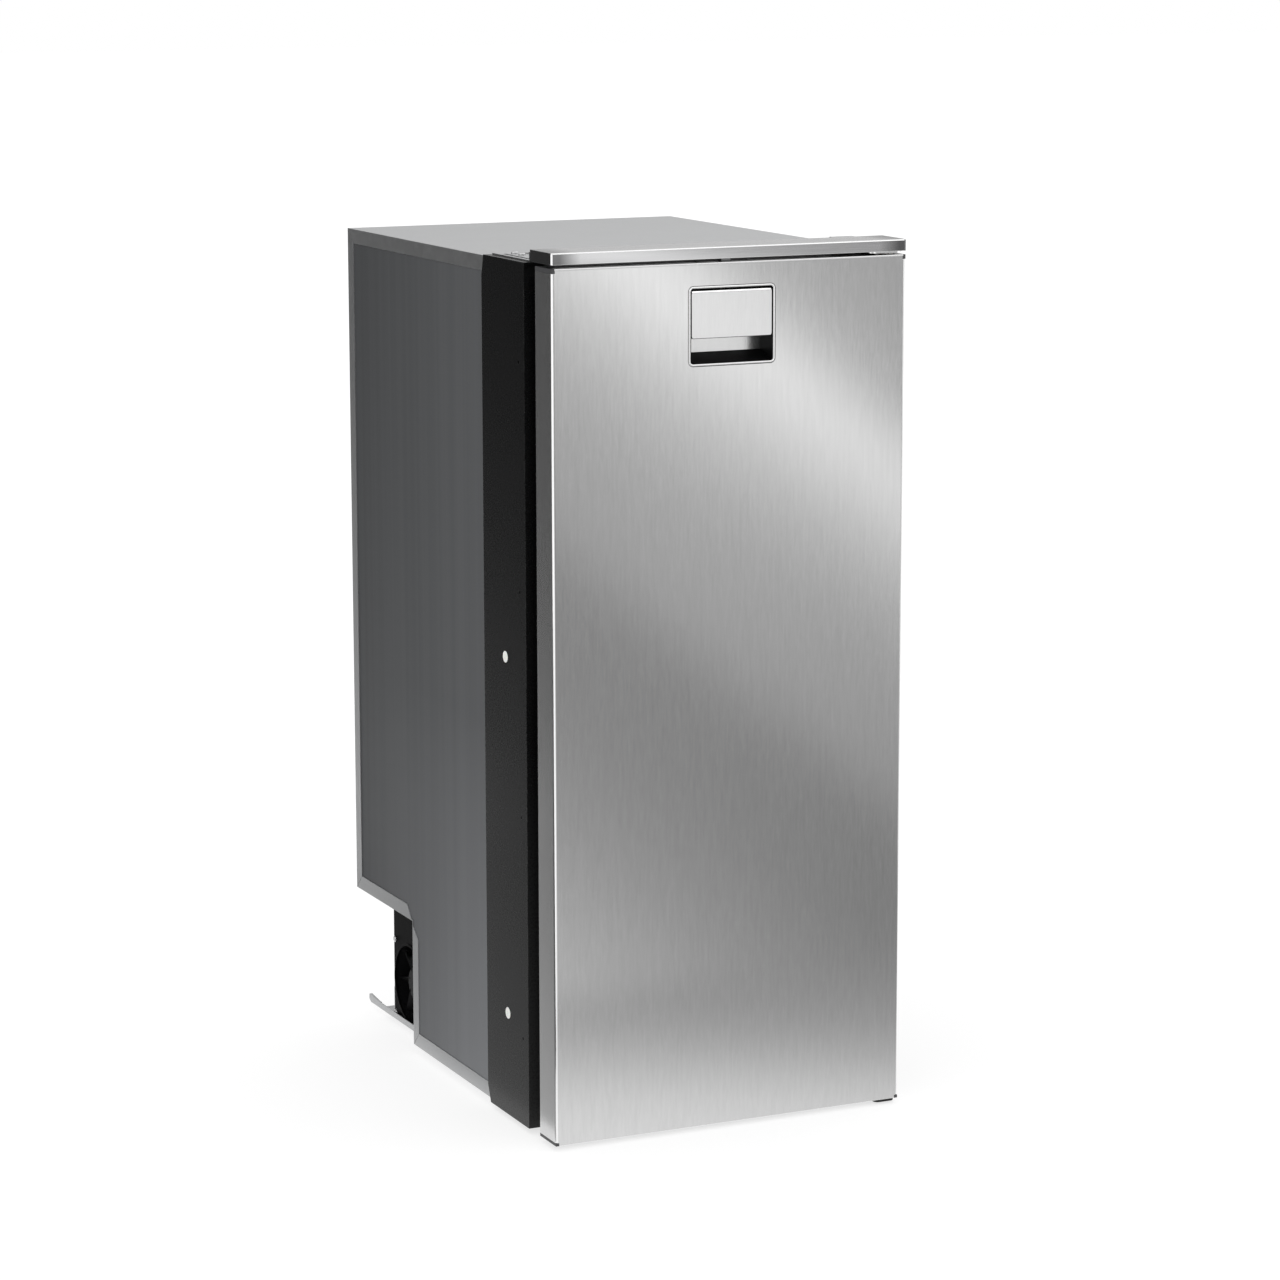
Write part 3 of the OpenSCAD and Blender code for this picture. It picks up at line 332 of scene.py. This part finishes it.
MATERIALS = {
    "door_steel": brushed("door_steel", (0.70, 0.70, 0.70), "z", 0.20, contrast=0.085),
    "trim_steel": brushed("trim_steel", (0.63, 0.63, 0.635), "x", 0.20, contrast=0.10, lengthwise=26.0,
                          dark_end=0.160),
    "handle_steel": brushed("handle_steel", (0.88, 0.88, 0.88), "z", 0.36, contrast=0.06, sheen=0.3),
    "plate_steel": brushed("plate_steel", (0.66, 0.66, 0.66), "z", 0.22, contrast=0.06, sheen=0.3),
    # Brighter, glossier steel for front bends, rims and the top hinge plate: a painted highlight on top
    # of their real reflection.
    "highlight_steel": brushed("highlight_steel", (0.96, 0.96, 0.96), "z", 0.16, contrast=0.02, sheen=0.0),
    "zinc_sheet": galvanised("zinc_sheet", (0.50, 0.505, 0.51), 0.42),
    "panel_grey": panel_coating("panel_grey", (0.0565, 0.058, 0.0605), 0.42),
    "collar_black": enamel("collar_black", (0.0015, 0.0015, 0.0017), 0.28, peel=600.0, depth=0.00001,
                           shine=0.15, painted_floor_reflection=0.02),
    "bay_black": enamel("bay_black", (0.0015, 0.0015, 0.0017), 0.45, peel=600.0, depth=0.00002,
                        shine=0.02),
    "compressor_black": enamel("compressor_black", (0.012, 0.012, 0.013), 0.22, peel=260.0,
                               depth=0.00012, wear=0.06, coat=0.4),
    "foam": foamed("foam", (0.66, 0.55, 0.30)),
    "liner_white": moulded("liner_white", (0.80, 0.81, 0.80), 0.27, grain=420.0, depth=0.00002,
                           clouding=0.015, soft=0.05),
    "white_plastic": moulded("white_plastic", (0.80, 0.80, 0.77), 0.36, clouding=0.02, soft=0.05),
    "black_plastic": moulded("black_plastic", (0.005, 0.005, 0.0055), 0.42, clouding=0.15, shine=0.1),
    "cap_grey": moulded("cap_grey", (0.05, 0.05, 0.052), 0.45, clouding=0.1, shine=0.4),
    "green_plastic": moulded("green_plastic", (0.015, 0.12, 0.035), 0.38, clouding=0.1),
    "rubber_black": moulded("rubber_black", (0.004, 0.004, 0.0042), 0.72, grain=500.0, depth=0.00008,
                            clouding=0.25, shine=0.25),
    "clear_plastic": clear("clear_plastic", (0.975, 0.988, 0.995), 0.04, 1.49),
    "clear_glass": clear("clear_glass", (0.90, 0.98, 0.95), 0.01, 1.5),
    "aluminium": rolled_metal("aluminium", (0.72, 0.73, 0.74), 0.34, (0.60, 0.61, 0.62)),
    "copper": rolled_metal("copper", (0.75, 0.33, 0.17), 0.28, (0.30, 0.12, 0.06), along="z"),
    "screw_steel": rolled_metal("screw_steel", (0.72, 0.72, 0.73), 0.24, (0.50, 0.50, 0.49)),
    "wire_white": enamel("wire_white", (0.80, 0.80, 0.77), 0.30, peel=350.0, wear=0.5),
}

for name, node in frame["nodes"].items():
    if not node.material_slots:
        node.data.materials.append(None)
    for place in node.material_slots:
        place.material = MATERIALS[SLOT_OF[name]]


# ---------------------------------------------------------------- pieces

# Sizes in mm. The radius of the bends along the top in front, and how far below the top they lie.
FRONT_BEND_MM = {"top_trim": (1.3, 0.1), "handle_paddle": (1.4, 2.6)}
# Radius of the upright corners at the foot.
FOOT_CORNER_MM = {"handle_paddle": 1.5}
# Sheets whose bends in front, all but those on the right, take a brighter steel than their faces: a
# painted highlight on top of their real reflection.
HIGHLIGHT_BENDS = ("top_trim", "door_skin", "handle_paddle")
# Radius of every other sharp edge.
ROUNDED_MM = {
    "casing": 0.25, "side_panel_left": 0.2, "side_panel_right": 0.2, "front_collar": 0.3,
    "top_trim": 0.4, "trim_brackets": 0.3, "strike_plate": 0.3, "collar_plugs": 0.5,
    "top_hinge_plate": 0.4, "bottom_hinge_plate": 0.4, "feet": 1.2, "base_tray": 0.3,
    "fan_shroud": 0.4, "fan_frame": 0.5, "fan_bracket": 0.3, "control_module": 1.0,
    "terminal_block": 0.5, "compressor": 1.0, "door_skin": 0.35, "door_cap_top": 0.5,
    "door_cap_bottom": 0.5, "door_gasket": 0.8, "door_liner": 1.2, "door_bins": 0.6,
    "handle_housing": 0.3, "handle_paddle": 0.8, "handle_backplate": 0.25, "inner_liner": 0.8,
    "evaporator": 0.3, "freezer_frame": 0.6, "freezer_flap": 0.6, "drip_tray": 0.6,
    "control_housing": 1.2, "thermostat_knob": 0.6, "lamp_lens": 0.5, "crisper_cover": 0.8,
    "crisper_bin": 0.7,
}


def new_piece(name, mesh, body):
    """A mesh, with its finish, as a piece that rides on a body."""
    piece = bpy.data.objects.new(name, mesh)
    scene.collection.objects.link(piece)
    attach(piece, body)
    return piece


def body_of(node):
    return frame["nodes"][node]["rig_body"]


def smooth(mesh, angle=32.0):
    """Smooth shading with creases only at corners sharper than the angle."""
    mesh.shade_smooth()
    mesh.set_sharp_from_angle(angle=math.radians(angle))


def rounded_edges(work, edges, radius, clamp=True):
    """Rounds edges of a bmesh to a radius in mm."""
    bmesh.ops.bevel(work, geom=edges, offset=radius * MM, offset_type="OFFSET", segments=2,
                    profile=0.5, affect="EDGES", clamp_overlap=clamp, harden_normals=False)


def sharp_edges(work, angle=28.0):
    return [edge for edge in work.edges
            if len(edge.link_faces) == 2 and edge.calc_face_angle(0.0) > math.radians(angle)]


def softened(node, radius):
    """A copy of a CAD node whose sharp edges are rounded to a radius in mm; it stands for the node.
    Some bends are wider, as listed above, and some take a brighter steel than the faces as a painted
    highlight."""
    merged = 0.002 * MM
    flat_angle = math.radians(0.4)
    front_depth = 3.0 * MM
    foot_depth = 0.8 * MM
    upright_slack = 0.01 * MM
    straight = 0.985
    mesh = frame["nodes"][node].data.copy()
    if "custom_normal" in mesh.attributes:
        mesh.attributes.remove(mesh.attributes["custom_normal"])
    work = bmesh.new()
    work.from_mesh(mesh)
    bmesh.ops.remove_doubles(work, verts=work.verts, dist=merged)
    bmesh.ops.dissolve_limit(work, angle_limit=flat_angle, verts=work.verts, edges=work.edges)
    if node in FRONT_BEND_MM:
        bend, band = FRONT_BEND_MM[node]
        top = max(vert.co.z for vert in work.verts) - band * MM
        front = min(vert.co.y for vert in work.verts) + front_depth
        brim = [edge for edge in sharp_edges(work)
                if all(vert.co.z > top and vert.co.y < front for vert in edge.verts)]
        rounded_edges(work, brim, bend, clamp=False)
    if node in FOOT_CORNER_MM:
        foot = min(vert.co.z for vert in work.verts) + foot_depth
        corners = [edge for edge in sharp_edges(work)
                   if all(vert.co.z < foot for vert in edge.verts)
                   and abs(edge.verts[0].co.x - edge.verts[1].co.x) < upright_slack]
        rounded_edges(work, corners, FOOT_CORNER_MM[node], clamp=False)
    rounded_edges(work, sharp_edges(work), radius)
    # Painted highlight: rounded bends that face the front, but not those turned to the right, take the
    # brighter steel.
    if node in HIGHLIGHT_BENDS:
        mesh.materials.append(MATERIALS["highlight_steel"])
        work.normal_update()
        for face in work.faces:
            turned = max(abs(part) for part in face.normal) < straight
            if turned and face.normal.x < 0.1 and face.normal.y < -0.1:
                face.material_index = 1
    work.to_mesh(mesh)
    work.free()
    smooth(mesh)
    piece = new_piece(node + ".rounded", mesh, body_of(node))
    even = piece.modifiers.new("even", "WEIGHTED_NORMAL")
    even.keep_sharp = True
    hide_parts(node)
    return piece


rounded = {node: softened(node, radius) for node, radius in ROUNDED_MM.items()}


def rounded_outline(low, high, radius):
    """Points round a rectangle with rounded corners, as (x, z)."""
    steps = 8
    points = []
    for corner in range(4):
        x = (high[0] - radius) if corner in (0, 3) else (low[0] + radius)
        z = (high[1] - radius) if corner in (0, 1) else (low[1] + radius)
        for step in range(steps + 1):
            angle = math.radians(90.0 * (corner + step / steps))
            points.append((x + radius * math.cos(angle), z + radius * math.sin(angle)))
    return points


def domed_rim(name, low, high, front, inset, width, height, radius):
    """A low domed band that runs inside a rectangle, from (x, z) low to high, on a plane that faces
    -y. radius is that of the rectangle's corners."""
    rings = 9
    fullness = 0.7
    vertices = []
    for ring in range(rings):
        share = ring / (rings - 1)
        inward = inset + width * share
        lift = height * math.sin(math.pi * share) ** fullness
        outline = rounded_outline((low[0] + inward, low[1] + inward),
                                  (high[0] - inward, high[1] - inward), radius - inward)
        vertices += [(x, front - lift, z) for x, z in outline]
    count = len(vertices) // rings
    faces = [(ring * count + i, ring * count + (i + 1) % count,
              (ring + 1) * count + (i + 1) % count, (ring + 1) * count + i)
             for ring in range(rings - 1) for i in range(count)]
    mesh = bpy.data.meshes.new(name)
    mesh.from_pydata(vertices, [], faces)
    smooth(mesh, 60.0)
    # The band takes the brighter steel: a painted highlight on top of its real reflection.
    mesh.materials.append(MATERIALS["highlight_steel"])
    return mesh


def handle_rim():
    """Domed rim round the handle in the brighter steel, a painted highlight on top of its real
    reflection, on a bezel that is pressed nearly flush with the door.
    """
    housing = rounded["handle_housing"].data
    face_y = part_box("door_skin")[0].y
    flush = face_y - 0.08 * MM
    for vert in housing.vertices:
        vert.co.y = max(vert.co.y, flush)
    low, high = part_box("handle_housing")
    mesh = domed_rim("handle_rim", (low.x, low.z), (high.x, high.z), flush,
                     inset=0.6 * MM, width=1.9 * MM, height=0.5 * MM, radius=5.5 * MM)
    new_piece("handle_rim", mesh, body_of("handle_housing"))


def door_top_hem():
    """Thin hem along the top of the door's face, in the brighter steel: a painted highlight on top of
    its real reflection.
    """
    low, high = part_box("door_skin")
    radius = 0.9 * MM
    depth = 0.45 * MM
    inset = 3.0 * MM
    steps = 6
    vertices = []
    for x in (low.x + inset, high.x - inset):
        for step in range(steps + 1):
            angle = math.pi * step / steps
            y = low.y - depth * math.sin(angle)
            z = high.z - radius - radius * math.cos(angle)
            vertices.append((x, y, z))
    count = steps + 1
    faces = [(step, step + 1, step + 1 + count, step + count) for step in range(steps)]
    mesh = bpy.data.meshes.new("door_top_hem")
    mesh.from_pydata(vertices, [], faces)
    smooth(mesh, 60.0)
    mesh.materials.append(MATERIALS["highlight_steel"])
    new_piece("door_top_hem", mesh, body_of("door_skin"))


handle_rim()
door_top_hem()
# Finishes that differ from the node's own slot. The top hinge plate takes the brighter steel to lift it
# out of the trim's shade: painted light.
for node, finish in {"top_hinge_plate": "highlight_steel", "handle_backplate": "plate_steel",
                     "fan_shroud": "bay_black"}.items():
    rounded[node].data.materials[0] = MATERIALS[finish]


# ---------------------------------------------------------------- stage, light and camera

FLOOR_REACH = 30.0
FLOOR_DROP = 0.0002

# Light panels, in metres: where the one in front stands, the one at the back on the left and the one
# far behind, and how high the two low ones lie above the floor.
FRONT_PANEL_Y = -0.78
SIDE_PANEL_Y = 1.0
BACK_PANEL_Y = 2.2
LOW_FRONT_Z = 0.0006
LOW_SIDE_Z = 0.0005

# The photograph's camera: place in metres, angles in degrees, lens and sensor in mm.
CAMERA_PLACE = (-1.6651, -3.6458, 1.1953)
CAMERA_YAW = 24.948
CAMERA_PITCH = 9.961
CAMERA_ROLL = -0.087
CAMERA_LENS = 109.83
CAMERA_SENSOR = 36.0
CAMERA_SHIFT = -0.03125


def flat_sheet(name, corners):
    """A single four-cornered face."""
    mesh = bpy.data.meshes.new(name)
    mesh.from_pydata(corners, [], [(0, 1, 2, 3)])
    sheet = bpy.data.objects.new(name, mesh)
    scene.collection.objects.link(sheet)
    return sheet


def pale_floor():
    """Wide plain floor with a very slight unevenness in its tone."""
    s = Shader("floor")
    cloud = s.noise((0.6, 0.6, 0.6), detail=3.0)
    s.set(Base_Color=s.tint(cloud, 0.38, 0.40),
          Roughness=0.9,
          Specular_IOR_Level=0.0,
          Emission_Color=rgba(1.0),
          Emission_Strength=0.70)
    floor = flat_sheet("floor", [(x * FLOOR_REACH, y * FLOOR_REACH, -FLOOR_DROP)
                                 for x, y in ((-1, -1), (1, -1), (1, 1), (-1, 1))])
    floor.data.materials.append(s.material)


def glow(name, across, stops, fade=None):
    """Light panel's material. across is (a, b, c, d) of the value a*x + b*y + c*z + d; stops are
    (value, strength). fade is (x0, x1, factor): between those places on x the light moves from its
    own strength to that many times as much."""
    s = Shader(name)
    s.nodes.remove(s.surface)
    total = across[3]
    for axis, weight in zip("XYZ", across):
        if weight:
            total = s.math("ADD", s.math("MULTIPLY", s.along(axis), weight), total)
    low, high = stops[0][0], stops[-1][0]
    ramp = s.add("ShaderNodeValToRGB", {"Fac": s.span(total, 0.0, 1.0, low, high)})
    ramp.color_ramp.interpolation = "LINEAR"
    points = ramp.color_ramp.elements
    while len(points) < len(stops):
        points.new(0.5)
    for point, (value, strength) in zip(points, stops):
        point.position = (value - low) / (high - low)
        point.color = rgba(strength)
    strength = s.span(s.along("X"), 1.0, fade[2], fade[0], fade[1]) if fade else 1.0
    light = s.add("ShaderNodeEmission", {"Color": ramp.outputs["Color"], "Strength": strength})
    s.links.new(light.outputs["Emission"], s.nodes["Material Output"].inputs["Surface"])
    return s.material


def reflector(name, corners, material):
    """A light panel that shows only as a reflection in glossy faces."""
    card = flat_sheet(name, corners)
    card.data.materials.append(material)
    card.visible_camera = False
    card.visible_diffuse = False
    card.visible_shadow = False
    card.visible_transmission = False


def upright(name, material, x, y, z):
    """A reflector that stands across y."""
    reflector(name, [(x[0], y, z[0]), (x[1], y, z[0]), (x[1], y, z[1]), (x[0], y, z[1])], material)


def level(name, material, x, y, z):
    """A reflector that lies at one height."""
    reflector(name, [(x[0], y[0], z), (x[1], y[0], z), (x[1], y[1], z), (x[0], y[1], z)], material)


def studio():
    """White surroundings, and graded panels that the steel and the left side reflect."""
    world = bpy.data.worlds.new("studio")
    world.use_nodes = True
    background = world.node_tree.nodes["Background"]
    background.inputs["Color"].default_value = rgba(1.0)
    background.inputs["Strength"].default_value = 1.0
    scene.world = world
    # In front: bright bands that slant down to the right, with a darker field below them.
    front = glow("front_light", (0.785, 0.0, 1.0, -0.534), [
        (-0.58, 0.78), (-0.44, 0.55), (-0.30, 0.39), (-0.18, 0.32), (-0.06, 0.30), (-0.015, 0.31),
        (0.01, 0.46), (0.06, 0.51), (0.13, 0.50), (0.20, 0.57), (0.28, 0.76), (0.34, 1.05),
        (0.39, 1.45), (0.43, 1.20), (0.47, 0.62), (0.56, 0.56), (0.66, 0.50), (0.76, 0.60),
        (0.86, 1.30), (1.10, 1.80)], fade=(0.22, 0.50, 0.82))
    upright("front_panel", front, x=(-0.45, 1.8), y=FRONT_PANEL_Y, z=(0.0, 1.7))
    low_front = glow("low_front_light", (0.6, -1.0, 0.0, -0.278), [
        (-0.05, 0.95), (0.10, 0.84), (0.20, 0.72), (0.30, 0.58), (0.45, 0.42), (0.70, 0.32)])
    level("low_front_panel", low_front, x=(-0.45, 1.2), y=(FRONT_PANEL_Y, -0.285), z=LOW_FRONT_Z)
    # At the back on the left and on the floor before it: dark above, lighter towards the foot.
    falling = [(-0.35, 1.0), (-0.20, 0.85), (-0.03, 0.50), (0.09, 0.40), (0.155, 0.33), (0.276, 0.225),
               (0.43, 0.14), (0.59, 0.103), (0.75, 0.092), (1.07, 0.079), (1.6, 0.07)]
    side = glow("side_light", (-1.7, 0.0, 1.0, -0.918), falling, fade=(-0.62, -0.34, 1.9))
    upright("side_panel", side, x=(-3.0, -0.22), y=SIDE_PANEL_Y, z=(0.0, 1.8))
    low_side = glow("low_side_light", (-1.7, -0.5, 0.0, -0.418), falling)
    level("low_side_panel", low_side, x=(-3.0, -0.22), y=(-0.5, SIDE_PANEL_Y), z=LOW_SIDE_Z)
    # Far behind: what the level faces on top reflect.
    back = glow("back_light", (0.0, 0.0, 1.0, 0.0), [
        (0.5, 0.60), (1.24, 0.60), (1.29, 0.47), (1.35, 0.47), (1.45, 0.78), (1.7, 1.0)])
    upright("back_panel", back, x=(-0.9, 4.0), y=BACK_PANEL_Y, z=(0.0, 1.75))


def photo_camera():
    """Camera at the photograph's place: left of the door and a little above it."""
    yaw = math.radians(CAMERA_YAW)
    pitch = math.radians(CAMERA_PITCH)
    roll = math.radians(CAMERA_ROLL)
    ahead = Vector((math.sin(yaw) * math.cos(pitch), math.cos(yaw) * math.cos(pitch), -math.sin(pitch)))
    right = ahead.cross(Vector((0.0, 0.0, 1.0))).normalized()
    above = right.cross(ahead)
    tilted_right = right * math.cos(roll) + above * math.sin(roll)
    tilted_above = above * math.cos(roll) - right * math.sin(roll)
    turn = Matrix((tilted_right, tilted_above, -ahead)).transposed().to_4x4()
    lens = bpy.data.cameras.new("camera")
    lens.sensor_width = CAMERA_SENSOR
    lens.lens = CAMERA_LENS
    lens.shift_y = CAMERA_SHIFT
    lens.clip_end = 100.0
    camera = bpy.data.objects.new("camera", lens)
    camera.matrix_world = Matrix.Translation(CAMERA_PLACE) @ turn
    scene.collection.objects.link(camera)
    scene.camera = camera


pale_floor()
studio()
photo_camera()
scene.view_settings.view_transform = "Standard"
